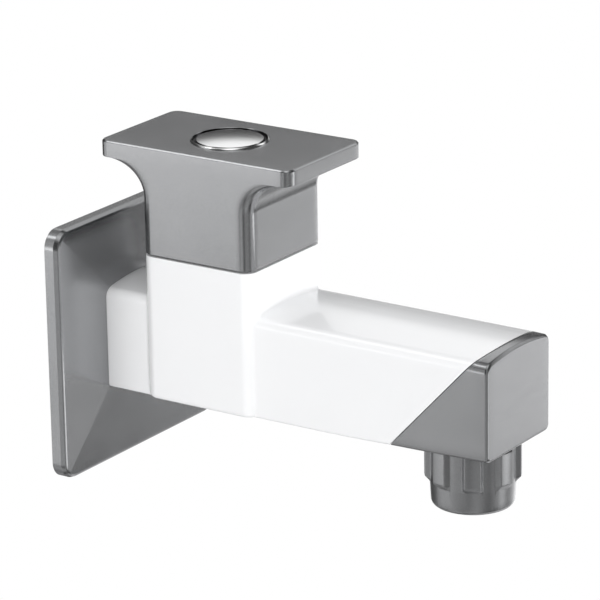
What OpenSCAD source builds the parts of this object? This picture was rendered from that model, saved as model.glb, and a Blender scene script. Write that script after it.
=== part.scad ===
// Wall bib cock: square wall flange, one-piece white body with an arched square spout,
// quarter-turn ceramic valve in its tower, T-shaped handle, spout end cap and ribbed nozzle.
// Millimetres. X leaves the wall along the spout, Z is up, and the origin is where the inlet axis meets the wall.

/* [Wall flange] */
// Side of the square wall flange
flange_w = 73; // [64:0.5:90]
// Thickness of the flange at its rim
flange_edge = 4.4; // [3.8:0.1:6]
// How far the flange's face rises from its rim to its middle
flange_rise = 2.4; // [1:0.1:3.5]
// Radius of the flange's four corners
flange_corner = 5.2; // [3:0.1:10]
// Wall of the hollow flange
flange_wall = 1.8; // [1.4:0.1:2.2]
// Rounding of the flange's front edge
flange_round = 1; // [0.4:0.1:1.5]

/* [Inlet] */
// Major diameter of the G1/2 inlet thread
inlet_thread_d = 20.955; // [20.5:0.005:21.5]
// Length of the inlet thread behind the wall plane
inlet_thread_l = 15; // [10:0.5:25]
// Bore of the inlet
inlet_bore_d = 13; // [10:0.5:14]
// Diameter of the collar that centres the flange
collar_d = 22.4; // [21.8:0.1:24]

/* [Arm and spout] */
// Width of the arm and spout
arm_w = 32.8; // [31:0.1:35]
// Depth of the underside below the inlet axis
arm_floor = 13.5; // [13:0.1:16]
// Height of the arched top above the inlet axis
arm_crown = 16.8; // [16:0.1:19]
// Radius of the arched top across the spout
arch_r = 76; // [50:1:150]
// Rounding between the arched top and the sides
arm_corner = 2.8; // [1.5:0.1:4]
// Rounding of the lower long edges
arm_edge = 0.9; // [0.4:0.1:1.5]
// Distance from the wall to the front of the spout
reach = 130.6; // [122:0.1:160]
// Fillet between the arched top and the tower
root_fillet = 1.3; // [0.8:0.1:3]

/* [Tower] */
// Side of the square tower
tower_w = 36.5; // [35:0.5:40]
// Distance from the wall to the tower's axis
tower_x = 37.9; // [36:0.1:46]
// Height of the tower above the inlet axis
tower_top = 28.2; // [27:0.1:34]
// Radius of the tower's upright corners
tower_corner = 3.5; // [1.5:0.1:4]
// Rounding of the tower's lower edges
tower_edge = 1.3; // [0.5:0.1:2]

/* [Waterways] */
// Diameter of the channels in the arm and the spout
channel_d = 9; // [7:0.5:10]
// Depth of the inlet channel's axis below the inlet axis
channel_drop = 4; // [3:0.5:5]
// Height of the spout channel's axis above the valve seat
channel_rise = 5.5; // [4.5:0.5:6]
// Height of the valve seat above the inlet axis
seat_z = 3; // [2:0.5:5]
// Diameter of the port under the valve seat
port_d = 9.6; // [8:0.2:10]
// Diameter of the valve chamber in the tower
chamber_d = 24; // [23:0.5:26]
// Length of the wide bore behind the inlet's mouth
inlet_bore_l = 22; // [16:1:26]

/* [Valve housing] */
// Outer diameter of the sleeve that holds the discs
sleeve_d = 19.2; // [18.6:0.2:20.4]
// Wall of that sleeve
sleeve_wall = 1.3; // [1:0.1:1.6]
// How far the seal stands out below the sleeve
seal_proud = 1; // [0.5:0.1:1.5]
// Length of the outlet windows
window_h = 4; // [3:0.2:4.4]
// Width of the outlet windows
window_w = 8; // [5:0.5:9]
// Width of the housing's hexagon across flats
hex_af = 22; // [20:0.5:24]
// Height of the hexagon
hex_h = 5; // [3:0.5:5.5]
// Diameter of the neck above the hexagon
neck_d = 15.2; // [13:0.2:17]
// Height of that neck
neck_h = 6.3; // [4:0.1:7]
// Thickness of the housing's O-ring
housing_ring_t = 2; // [1.5:0.1:2.4]
// Depth of the housing's O-ring below the tower's top
housing_ring_depth = 2.4; // [2:0.1:4]
// Width of the ears that key the fixed disc
ear_w = 3; // [2:0.5:4]

// Bevel on the hexagon's upper corners
hex_bevel = 0.8; // [0.4:0.1:1.2]
// How far the stops for the drive bar reach in from the sleeve
stop_depth = 1.9; // [1.2:0.1:2.2]

/* [Discs and seal] */
// Thickness of the rubber seat seal
seal_t = 3.5; // [2.5:0.1:4]
// Thickness of each ceramic disc
disc_t = 3; // [2.5:0.1:3.4]
// Radius of the water openings in the discs
disc_open_r = 6.6; // [5.5:0.1:7]
// Half angle of each water opening
disc_open_half = 38; // [30:1:41]
// Radius of the solid middle of each disc
disc_hub_r = 1.6; // [1:0.1:2.5]
// Depth of the drive notches in the moving disc
notch_depth = 1.5; // [1:0.1:2]
// Distance of the drive notches from the axis
notch_r = 5.2; // [4.5:0.1:6]

/* [Spindle] */
// Diameter of the spindle's shaft
spindle_d = 9.9; // [9.1:0.1:11]
// Width of the drive bar at the spindle's foot
bar_w = 5; // [4:0.1:6]
// Height of that bar
bar_h = 4.4; // [3.6:0.1:5]
// Diameter of the bar's round ends
bar_d = 15.6; // [14.5:0.1:16]
// Diameter of the spindle's thrust collar
thrust_d = 15; // [13:0.1:16]
// Thickness of that collar
thrust_t = 1.35; // [1:0.05:2]
// Thickness of the low-friction washer over the collar
washer_t = 1; // [0.6:0.1:1.4]
// Thickness of the spindle's O-rings
spindle_ring_t = 1.86; // [1.4:0.02:2]
// Height of the lower O-ring above the housing's inner shoulder
lower_ring_rise = 4; // [2.5:0.5:6]
// Distance between the two O-rings
ring_pitch = 7; // [4:0.5:9]
// Outer diameter of the splined end
spline_d = 7.8; // [7.2:0.1:8.6]
// Depth of the spline's teeth
spline_depth = 0.5; // [0.3:0.1:0.7]
// Number of teeth on the spline
spline_teeth = 20; // [12:1:24]
// Length of the splined end
spline_l = 8.2; // [6:0.1:9]
// Length of plain shaft between the clip and the spline
shaft_over_clip = 0.6; // [0.4:0.1:1.5]
// Thickness of the spindle's retaining clip
clip_t = 0.8; // [0.6:0.1:1.2]
// Outer diameter of that clip
clip_d = 12.4; // [11.5:0.1:14]
// Depth of the clip's groove
clip_groove = 0.75; // [0.5:0.05:0.9]
// Width of the clip's mouth
clip_mouth = 6; // [4:0.5:7]

/* [Handle] */
// Height of the handle's top above the inlet axis
handle_top = 59.6; // [57.5:0.1:66]
// Thickness of the handle's top plate
plate_t = 4.7; // [3.6:0.1:6]
// How far the plate reaches past the tower, front and back
overhang = 13.7; // [12.5:0.1:22]
// Radius of the hollow under the plate
grip_r = 11; // [8:0.1:12]
// Radius of the plate's corners
plate_corner = 3.1; // [1:0.1:4]
// Bevel round the plate's top edge
plate_bevel = 0.45; // [0.2:0.05:0.8]
// Wall of the handle's skirt
skirt_wall = 2.6; // [1.8:0.1:3]
// Radius of the upright corners inside the skirt
hollow_corner = 1.5; // [0.5:0.1:3]
// Height of the hollow inside the skirt
skirt_hollow = 18.3; // [17:0.1:20]
// Diameter of the boss round the spline socket
boss_d = 14; // [12:0.5:18]
// Thickness of the web under the handle screw
web_t = 2.6; // [2:0.1:3.5]
// Depth of the recess under the index cap
recess_depth = 3.2; // [2.8:0.1:4]

/* [Handle screw and index cap] */
// Diameter of the handle screw's thread
screw_d = 3.9; // [3:0.1:4.4]
// Length of the screw under its head
screw_l = 9.3; // [6:0.1:10]
// Diameter of the screw's head
screw_head_d = 7.2; // [6:0.1:9]
// Height of the screw's head
screw_head_h = 2.4; // [1.6:0.1:2.8]
// Width of the slots in the screw's head
screw_slot_w = 1; // [0.6:0.1:1.4]
// Diameter of the index cap
index_d = 21.8; // [18:0.1:26]
// How far the index cap stands proud of the plate
index_proud = 0.9; // [0.4:0.1:1.4]
// Thickness of the index cap's disc
index_t = 2.4; // [2.2:0.1:2.8]
// How far the cap's middle stands over its rim
index_crown = 0.5; // [0.2:0.05:0.8]
// Rounding of the index cap's rim
index_round = 1.6; // [0.6:0.1:1.6]
// Wall of the index cap's snap skirt
index_wall = 1.1; // [0.8:0.1:1.4]

/* [Spout end cap] */
// Wall of the end cap
cap_wall = 2; // [1.5:0.1:2.6]
// Slope of the cap's joint from level
cap_slope = 46.9; // [44:0.1:52]
// Length of the cap along its lower edge
cap_foot = 31.6; // [29:0.1:33]
// Rounding of the cap's front edges
cap_round = 0.9; // [0.4:0.1:1.5]
// Open joint between the cap and the body
cap_seam = 0.25; // [0.1:0.05:0.5]

/* [Nozzle] */
// Distance from the spout's front to the nozzle's axis
nozzle_back = 14.4; // [13.4:0.1:14.6]
// Outer diameter over the nozzle's ribs
rib_d = 26.6; // [26:0.1:28]
// Diameter of the nozzle's barrel under the cap
barrel_d = 23.6; // [23:0.1:24.4]
// Diameter of the barrel at its lower end
barrel_tip_d = 22.9; // [22.2:0.1:23.4]
// Length of the nozzle below the spout
nozzle_l = 17.7; // [17.2:0.1:24]
// Length of the ribs below the spout
rib_l = 11.2; // [8:0.1:13]
// Number of ribs round the nozzle
rib_count = 8; // [6:1:12]
// Width of a rib at its outer face
rib_w = 4.4; // [3:0.1:5]
// Width of a rib at its root
rib_root_w = 5.7; // [5:0.1:6.5]
// Bevel at the lower end of the ribs
rib_bevel = 1.4; // [0.8:0.1:2]
// Turn of the first rib from the spout's axis
rib_turn = -14.5; // [-22:0.5:22]
// Groove between the ribs and the spout
rib_groove = 0.5; // [0.3:0.1:1]
// Diameter of the threaded neck inside the spout
nozzle_neck_d = 19; // [18:0.1:19.4]
// Length of that neck above the spout's underside
nozzle_neck_l = 10; // [7:0.1:11]
// Bore of the neck
nozzle_bore_d = 14.4; // [12:0.1:15]
// Bore of the barrel, where the aerator sits
barrel_bore_d = 18.6; // [18:0.1:19]
// Rounding of the nozzle's lower lip
lip_round = 1; // [0.4:0.1:1.2]
// Thickness of the washer at the top of the neck
nozzle_washer_t = 1.6; // [1:0.1:2]

/* [Aerator] */
// Depth of the aerator inside the nozzle's lip
aerator_inset = 1; // [0.5:0.1:2]
// Height of the aerator's cup
aerator_h = 10.4; // [9.4:0.1:11]
// Wall of the aerator's cup
aerator_wall = 1.1; // [0.8:0.1:1.4]
// Thickness of the grid that closes the cup
grid_t = 2; // [1:0.1:2.6]
// Spacing of the grid's bars
grid_pitch = 2.6; // [2:0.1:3.4]
// Thickness of the grid's bars
grid_bar = 0.8; // [0.5:0.1:1.2]
// Thickness of the perforated plate over the cup
jet_plate_t = 1.2; // [0.8:0.1:1.6]
// Diameter of the holes in that plate
jet_hole_d = 1.3; // [0.8:0.1:1.6]
// Distance between that plate's rings of holes
jet_pitch = 2.9; // [2.2:0.1:3.2]
// Thickness of each wire screen
screen_t = 0.4; // [0.3:0.05:0.6]
// Spacing of the screens' openings
screen_pitch = 1.8; // [1.6:0.1:2.4]
// Width of each opening in a screen
screen_hole = 1.2; // [0.8:0.1:1.3]
// How far the cup's ledges reach in under the screens
ledge = 0.6; // [0.3:0.1:1]
// Height of the lower screen above the grid
screen_rise = 1; // [0.4:0.1:1.6]
// Distance between the two screens
screen_gap = 2.2; // [1:0.1:2.6]
// Thickness of the rubber ring over the aerator
aerator_ring_t = 1.6; // [1:0.1:2]

/* [Clearances] */
// Gap between the handle's skirt and the tower
skirt_gap = 0.5; // [0.3:0.1:1]
// Radial running fit of the spindle in its housing
spindle_fit = 0.05; // [0.02:0.01:0.09]
// Face gap between parts that turn on each other
face_gap = 0.05; // [0.03:0.01:0.2]
// Radial fit of parts that sit in a bore
seat_fit = 0.1; // [0.05:0.01:0.2]
// Loose fit between mouldings
loose_fit = 0.2; // [0.1:0.05:0.3]
// Gap between the drive bar and its stops
stop_gap = 0.3; // [0.2:0.05:0.5]

/* [Hidden] */
$fn = 64;
over = 1;
bite = 0.02;
white = [0.95, 0.95, 0.96];
silver = [0.6, 0.61, 0.62];

// Places along the spout
arm_root_x = flange_edge - 1;
tower_front = tower_x + tower_w / 2;
tower_back = tower_x - tower_w / 2;
nozzle_x = reach - nozzle_back;
cap_foot_x = reach - cap_foot;
spout_channel_z = seat_z + channel_rise;

// Heights inside the valve
chamber_r = chamber_d / 2;
sleeve_r = sleeve_d / 2;
sleeve_bore_r = sleeve_r - sleeve_wall;
fixed_z = seat_z + seal_t;
moving_z = fixed_z + disc_t + face_gap;
bar_z = moving_z + disc_t;
thrust_z = bar_z + bar_h;
washer_z = thrust_z + thrust_t;
shoulder_z = washer_z + washer_t + face_gap;
window_z = thrust_z - window_h;
hex_z = tower_top;
neck_z = hex_z + hex_h;
neck_top = neck_z + neck_h;
clip_z = neck_top + stop_gap;
spline_z = clip_z + clip_t + shaft_over_clip;
spindle_top = spline_z + spline_l;
spindle_r = spindle_d / 2;
shaft_bore_r = spindle_r + spindle_fit;
lower_ring_z = shoulder_z + lower_ring_rise;
upper_ring_z = lower_ring_z + ring_pitch;
disc_r = sleeve_bore_r - seat_fit;
housing_thread_z = thrust_z + loose_fit;
housing_thread_r = chamber_r - seat_fit;
housing_ring_z = tower_top - housing_ring_depth;

// Heights inside the handle
skirt_z = tower_top + skirt_gap;
socket_top = spindle_top + loose_fit;
screw_seat_z = socket_top + web_t;
recess_z = handle_top - recess_depth;
plate_z = handle_top - plate_t;
plate_l = tower_w + 2 * overhang;
boss_z = spline_z + skirt_gap;
index_top = handle_top + index_proud;
index_r = index_d / 2;

// Heights inside the nozzle
spout_floor = -arm_floor;
nozzle_bottom = spout_floor - nozzle_l;
neck_end_z = spout_floor + nozzle_neck_l;
socket_end_z = neck_end_z + nozzle_washer_t;
aerator_z = nozzle_bottom + aerator_inset;
aerator_top = aerator_z + aerator_h;
aerator_r = barrel_bore_d / 2 - seat_fit;
cup_bore_r = aerator_r - aerator_wall;
screen_r = cup_bore_r - seat_fit;
lower_screen_z = aerator_z + grid_t + screen_rise;
upper_screen_z = lower_screen_z + screen_t + screen_gap;
barrel_shoulder_z = aerator_top + aerator_ring_t;

// Extrudes a flat shape along X, with its first axis on Y and its second on Z
module along_x(x0, x1) {
    translate([x0, 0, 0]) rotate([90, 0, 90]) linear_extrude(x1 - x0) children();
}

// Extrudes a flat shape along Y, with its first axis on X and its second on Z
module along_y(y0, y1) {
    translate([0, y1, 0]) rotate([90, 0, 0]) linear_extrude(y1 - y0) children();
}

// Extrudes a flat shape upwards
module upright(z0, z1) {
    translate([0, 0, z0]) linear_extrude(z1 - z0) children();
}

// A rectangle with round corners, centred on the origin
module round_rect(w, h, r) {
    square([w - 2 * r, h], center = true);
    square([w, h - 2 * r], center = true);
    for (sx = [-1, 1], sy = [-1, 1])
        translate([sx * (w / 2 - r), sy * (h / 2 - r)]) circle(r);
}

// What is left of a square of side r once its quarter circle is cut away; its sharp corner is at the origin
module spandrel(r) {
    difference() {
        square(r);
        translate([r, r]) circle(r);
    }
}

// Cross-section of the arm and spout: flat floor, upright sides, arched top; inset moves the outline inwards
module arm_section(inset) {
    half = arm_w / 2 - inset;
    arch = arch_r - inset;
    arch_z = arm_crown - arch_r;
    round_top = max(arm_corner - inset, 0.4);
    round_low = max(arm_edge - inset, 0.2);
    corner_y = half - round_top;
    corner_z = arch_z + sqrt(pow(arch - round_top, 2) - pow(corner_y, 2));
    lean = atan(corner_y / (corner_z - arch_z));
    floor_z = inset - arm_floor;
    far = 2 * round_top;
    difference() {
        intersection() {
            translate([-half, floor_z]) square([2 * half, arm_floor + arm_crown - 2 * inset]);
            translate([0, arch_z]) circle(arch, $fn = 256);
        }
        for (side = [-1, 1]) scale([side, 1]) {
            polygon([
                [corner_y, corner_z],
                [corner_y + far * sin(lean), corner_z + far * cos(lean)],
                [half + over, corner_z + far],
                [half + over, corner_z]]);
            translate([half, floor_z]) mirror([1, 0]) spandrel(round_low);
        }
    }
    for (side = [-1, 1]) translate([side * corner_y, corner_z]) circle(round_top);
}

// Everything on the wall's side of the cap's sloping joint, moved along X by shift
module behind_joint(shift) {
    low = spout_floor - over;
    high = arm_crown + over;
    foot = cap_foot_x + shift - over / tan(cap_slope);
    along_y(-arm_w, arm_w)
        polygon([[0, low], [foot, low], [foot + (high - low) / tan(cap_slope), high], [0, high]]);
}

// Side view of the flange: round front edges and a face that rises to the middle
module flange_profile(w, edge, rise, soft) {
    polygon([[0, -w / 2], [edge - soft, -w / 2], [edge, -w / 2 + soft], [edge + rise, 0],
        [edge, w / 2 - soft], [edge - soft, w / 2], [0, w / 2]]);
    for (side = [-1, 1]) translate([edge - soft, side * (w / 2 - soft)]) circle(soft);
}

// A low square pyramid with round corners: two crossed profiles inside a rounded square
module flange_form(w, edge, rise, corner, soft) {
    intersection() {
        along_y(-w / 2, w / 2) flange_profile(w, edge, rise, soft);
        upright(-w / 2, w / 2) flange_profile(w, edge, rise, soft);
        along_x(0, edge + rise) round_rect(w, w, corner);
    }
}

module wall_flange() {
    inner_w = flange_w - 2 * flange_wall;
    inner_soft = max(flange_round - flange_wall, loose_fit);
    rib_y = collar_d / 2 + loose_fit + flange_wall / 2;
    color(silver) difference() {
        union() {
            difference() {
                flange_form(flange_w, flange_edge, flange_rise, flange_corner, flange_round);
                translate([-over, 0, 0])
                    flange_form(inner_w, flange_edge - flange_wall + over, flange_rise,
                        flange_corner - flange_wall, inner_soft);
            }
            // Floor of the arm's socket, the wall round it and the ring round the inlet collar
            along_x(arm_root_x - flange_wall, arm_root_x) arm_section(-loose_fit - flange_wall);
            intersection() {
                along_x(0, flange_edge) {
                    difference() {
                        arm_section(-loose_fit - flange_wall);
                        arm_section(-loose_fit);
                    }
                    circle(collar_d / 2 + loose_fit + flange_wall);
                }
                flange_form(flange_w, flange_edge, flange_rise, flange_corner, flange_round);
            }
            // Stiffening ribs from the collar's ring to the rim
            for (turn = [0 : 90 : 270])
                rotate([turn, 0, 0])
                    translate([0, rib_y, -flange_wall / 2])
                        cube([flange_edge - flange_wall / 2, flange_w / 2 - rib_y - flange_wall / 2, flange_wall]);
        }
        along_x(arm_root_x, flange_edge + flange_rise + over) arm_section(-loose_fit);
        along_x(-over, flange_edge + over) circle(collar_d / 2 + loose_fit);
    }
}

// Tower block: rounded square, with its lower edges rounded by two crossed side views
module tower_block() {
    high = tower_top + arm_floor;
    mid = (tower_top - arm_floor) / 2;
    translate([tower_x, 0, 0]) intersection() {
        upright(spout_floor, tower_top) round_rect(tower_w, tower_w, tower_corner);
        along_y(-tower_w / 2, tower_w / 2) tower_side(high, mid);
        along_x(-tower_w / 2, tower_w / 2) tower_side(high, mid);
    }
}

// Side view of the tower with round lower corners
module tower_side(high, mid) {
    difference() {
        translate([0, mid]) square([tower_w, high], center = true);
        for (side = [-1, 1])
            translate([side * tower_w / 2, spout_floor]) scale([-side, 1]) spandrel(tower_edge);
    }
}

// Fillet where the arched top meets the tower's face at x; side is 1 in front of it and -1 behind
module arch_fillet(x, side) {
    spread = asin((arm_w / 2 - arm_corner) / arch_r);
    translate([x, 0, arm_crown - arch_r])
        rotate([0, 90, 0])
            rotate([0, 0, 180 - spread])
                rotate_extrude(angle = 2 * spread, $fn = 256)
                    translate([arch_r - bite, -side * bite]) scale([1, side]) spandrel(root_fillet);
}

module body() {
    core_x = reach - cap_wall - loose_fit;
    color(white) difference() {
        union() {
            intersection() {
                along_x(arm_root_x, reach) arm_section(0);
                behind_joint(0);
            }
            along_x(tower_x, core_x) arm_section(cap_wall + loose_fit);
            tower_block();
            arch_fillet(tower_front, 1);
            arch_fillet(tower_back, -1);
            along_x(-inlet_thread_l, arm_root_x + over) circle(inlet_thread_d / 2);
            along_x(loose_fit, arm_root_x + over) circle(collar_d / 2);
        }
        // Inlet bore, the lower channel and the port under the seat
        along_x(-inlet_thread_l - over, inlet_bore_l - inlet_thread_l) circle(inlet_bore_d / 2);
        along_x(0, tower_x) translate([0, -channel_drop]) circle(channel_d / 2);
        translate([tower_x, 0, -channel_drop]) cylinder(h = channel_drop + seat_z + over, d = port_d);
        translate([tower_x, 0, -channel_drop]) sphere(d = port_d);
        // Valve chamber, open at the tower's top
        translate([tower_x, 0, seat_z]) cylinder(h = tower_top - seat_z + over, d = chamber_d);
        // Spout channel, the drop to the nozzle and the nozzle's socket
        along_x(tower_x, nozzle_x) translate([0, spout_channel_z]) circle(channel_d / 2);
        translate([nozzle_x, 0, spout_channel_z]) sphere(d = channel_d);
        translate([nozzle_x, 0, socket_end_z - over])
            cylinder(h = spout_channel_z - socket_end_z + over, d = channel_d);
        translate([nozzle_x, 0, spout_floor - over])
            cylinder(h = socket_end_z - spout_floor + over, d = nozzle_neck_d + 2 * seat_fit);
    }
}

// Outline of the cap seen along one cross axis: square at the back, round corners at the front
module cap_outline(low, high) {
    difference() {
        translate([0, low]) square([reach, high - low]);
        translate([reach, low]) mirror([1, 0]) spandrel(cap_round);
        translate([reach, high]) rotate(180) spandrel(cap_round);
    }
}

module spout_end_cap() {
    color(silver) difference() {
        intersection() {
            along_x(cap_foot_x, reach) arm_section(0);
            along_y(-arm_w, arm_w) cap_outline(spout_floor, arm_crown);
            upright(spout_floor - over, arm_crown + over) cap_outline(-arm_w / 2, arm_w / 2);
        }
        behind_joint(cap_seam / sin(cap_slope));
        along_x(cap_foot_x - over, reach - cap_wall) arm_section(cap_wall);
        translate([nozzle_x, 0, spout_floor - over])
            cylinder(h = cap_wall + 2 * over, d = nozzle_neck_d + 2 * loose_fit);
    }
}

// One rib of the nozzle, seen from above: narrow outside, wide at its root
module rib_shape() {
    inner_r = barrel_bore_d / 2 + loose_fit;
    root = rib_root_w / 2;
    polygon([[inner_r, -root], [barrel_d / 2, -root], [rib_d / 2, -rib_w / 2],
        [rib_d / 2, rib_w / 2], [barrel_d / 2, root], [inner_r, root]]);
}

module nozzle_shell() {
    barrel_r = barrel_d / 2;
    tip_r = barrel_tip_d / 2;
    rib_top = spout_floor - rib_groove;
    rib_low = spout_floor - rib_l;
    color(silver) translate([nozzle_x, 0, 0]) difference() {
        union() {
            rotate_extrude() {
                polygon([[0, nozzle_bottom], [tip_r - lip_round, nozzle_bottom],
                    [tip_r, nozzle_bottom + lip_round], [barrel_r, rib_low], [barrel_r, spout_floor], [0, spout_floor]]);
                translate([tip_r - lip_round, nozzle_bottom + lip_round]) circle(lip_round);
            }
            translate([0, 0, spout_floor - over]) cylinder(h = nozzle_neck_l + over, d = nozzle_neck_d);
            // Ribs, trimmed by a turned envelope with a bevel at its lower end
            intersection() {
                upright(rib_low, rib_top)
                    for (i = [0 : rib_count - 1]) rotate(rib_turn + i * 360 / rib_count) rib_shape();
                rotate_extrude() polygon([[0, rib_low], [rib_d / 2 - rib_bevel, rib_low],
                    [rib_d / 2, rib_low + rib_bevel], [rib_d / 2, rib_top], [0, rib_top]]);
            }
        }
        translate([0, 0, nozzle_bottom - over])
            cylinder(h = barrel_shoulder_z - nozzle_bottom + over, d = barrel_bore_d);
        translate([0, 0, nozzle_bottom]) cylinder(h = nozzle_l + nozzle_neck_l + over, d = nozzle_bore_d);
    }
}

// A plain ring between two radii and two heights
module ring(r_in, r_out, z0, z1) {
    difference() {
        translate([0, 0, z0]) cylinder(h = z1 - z0, r = r_out);
        translate([0, 0, z0 - over]) cylinder(h = z1 - z0 + 2 * over, r = r_in);
    }
}

// A round rubber ring
module o_ring(r_out, t, z) {
    translate([0, 0, z]) rotate_extrude() translate([r_out - t / 2, 0]) circle(t / 2);
}

module nozzle_washer() {
    color([0.15, 0.15, 0.16]) translate([nozzle_x, 0, 0])
        ring(channel_d / 2, nozzle_neck_d / 2, neck_end_z, socket_end_z);
}

module aerator_ring() {
    color([0.15, 0.15, 0.16]) translate([nozzle_x, 0, 0])
        ring(nozzle_bore_d / 2, aerator_r, aerator_top, barrel_shoulder_z);
}

module jet_plate() {
    hole_r = jet_hole_d / 2;
    color(white) translate([nozzle_x, 0, 0]) upright(aerator_top - jet_plate_t, aerator_top) difference() {
        circle(screen_r);
        for (row = [1, 2], i = [0 : 8 * row - 1])
            rotate(i * 45 / row) translate([row * jet_pitch, 0]) circle(hole_r, $fn = 24);
    }
}

// A disc of woven wire, drawn as a plate with rows of square openings
module wire_screen(z) {
    rows = floor(screen_r / screen_pitch);
    color([0.75, 0.75, 0.76]) translate([nozzle_x, 0, 0]) upright(z, z + screen_t) difference() {
        circle(screen_r);
        for (i = [-rows : rows], j = [-rows : rows])
            if (norm([i, j]) * screen_pitch < screen_r - screen_hole)
                translate([i, j] * screen_pitch) square(screen_hole, center = true);
    }
}

module aerator_screen_upper() {
    wire_screen(upper_screen_z);
}

module aerator_screen_lower() {
    wire_screen(lower_screen_z);
}

// Cup with a grid across its lower end
module aerator_cup() {
    bars = floor(aerator_r / grid_pitch);
    color(white) translate([nozzle_x, 0, 0]) {
        ring(cup_bore_r, aerator_r, aerator_z, aerator_top);
        upright(aerator_z, aerator_z + grid_t) intersection() {
            circle(cup_bore_r + seat_fit);
            for (i = [-bars : bars]) {
                translate([i * grid_pitch, 0]) square([grid_bar, 2 * aerator_r], center = true);
                translate([0, i * grid_pitch]) square([2 * aerator_r, grid_bar], center = true);
            }
        }
        // Ledges that carry the screens and the perforated plate
        ring(cup_bore_r - ledge, cup_bore_r + seat_fit, aerator_z + grid_t, lower_screen_z);
        ring(cup_bore_r - ledge, cup_bore_r + seat_fit, lower_screen_z + screen_t, upper_screen_z);
        ring(cup_bore_r - ledge, cup_bore_r + seat_fit, upper_screen_z + screen_t, aerator_top - jet_plate_t);
    }
}

// Brass housing: windowed sleeve round the discs, threaded body, hexagon and neck
module valve_housing() {
    sleeve_z = seat_z + seal_proud;
    groove_half = housing_ring_t / 2 + seat_fit;
    hex_corner_r = hex_af / 2 / cos(30);
    color("goldenrod") translate([tower_x, 0, 0]) difference() {
        union() {
            translate([0, 0, sleeve_z]) cylinder(h = housing_thread_z - sleeve_z + over, r = sleeve_r);
            translate([0, 0, housing_thread_z]) cylinder(h = tower_top - housing_thread_z, r = housing_thread_r);
            intersection() {
                translate([0, 0, hex_z]) cylinder(h = hex_h, r = hex_corner_r, $fn = 6);
                rotate_extrude() polygon([[0, hex_z], [hex_corner_r, hex_z], [hex_corner_r, neck_z - hex_bevel],
                    [hex_corner_r - hex_bevel * tan(60), neck_z], [0, neck_z]]);
            }
            translate([0, 0, neck_z - over]) cylinder(h = neck_h + over, d = neck_d);
        }
        // Bore for the discs, then the shaft's bore above the shoulder
        translate([0, 0, sleeve_z - over]) cylinder(h = shoulder_z - sleeve_z + over, r = sleeve_bore_r);
        translate([0, 0, shoulder_z - over]) cylinder(h = neck_top - shoulder_z + 2 * over, r = shaft_bore_r);
        // Two outlet windows, and two slots for the fixed disc's ears
        for (turn = [45, 225]) rotate(turn)
            translate([0, -window_w / 2, window_z]) cube([2 * sleeve_r, window_w, window_h]);
        for (turn = [90, 270]) rotate(turn)
            translate([0, -ear_w / 2 - seat_fit, sleeve_z - over])
                cube([2 * sleeve_r, ear_w + 2 * seat_fit, fixed_z + disc_t + over - sleeve_z]);
        // Groove for the housing's O-ring
        ring(housing_thread_r - housing_ring_t, chamber_r + over, housing_ring_z - groove_half,
            housing_ring_z + groove_half);
    }
    // Stops for the drive bar, a quarter turn apart
    color("goldenrod") translate([tower_x, 0, 0]) for (turn = [0, 180]) rotate(turn)
        upright(bar_z + face_gap, thrust_z) intersection() {
            difference() {
                circle(sleeve_bore_r + loose_fit);
                circle(sleeve_bore_r - stop_depth);
            }
            translate([-sleeve_r - bar_w / 2 - stop_gap, bar_w / 2 + stop_gap]) square(sleeve_r);
        }
}

module housing_o_ring() {
    color([0.15, 0.15, 0.16]) translate([tower_x, 0, 0]) o_ring(housing_thread_r, housing_ring_t, housing_ring_z);
}

module seat_seal() {
    color([0.15, 0.15, 0.16]) translate([tower_x, 0, 0]) ring(port_d / 2, disc_r, seat_z, fixed_z);
}

// Two opposite water openings of a disc, on the X axis
module disc_openings() {
    reach_y = disc_open_r * tan(disc_open_half);
    for (side = [-1, 1]) difference() {
        intersection() {
            circle(disc_open_r);
            polygon([[0, 0], [side * disc_open_r, -reach_y], [side * disc_open_r, reach_y]]);
        }
        circle(disc_hub_r);
    }
}

module fixed_disc() {
    color([0.93, 0.92, 0.9]) translate([tower_x, 0, 0]) upright(fixed_z, fixed_z + disc_t) difference() {
        union() {
            circle(disc_r);
            square([ear_w, 2 * (sleeve_r - loose_fit)], center = true);
        }
        disc_openings();
    }
}

module moving_disc() {
    color([0.93, 0.92, 0.9]) translate([tower_x, 0, 0]) difference() {
        upright(moving_z, bar_z) difference() {
            circle(disc_r);
            rotate(90) disc_openings();
        }
        for (side = [-1, 1])
            translate([side * (notch_r + disc_r), 0, bar_z - notch_depth / 2 + over / 2])
                cube([2 * disc_r, bar_w + 2 * seat_fit, notch_depth + over], center = true);
    }
}

// Points of a toothed outline: tips and roots in turn
function tooth_ring(tip, root, teeth) =
    [for (i = [0 : 2 * teeth - 1]) let (r = i % 2 == 0 ? tip : root, a = i * 180 / teeth) r * [cos(a), sin(a)]];

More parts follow.
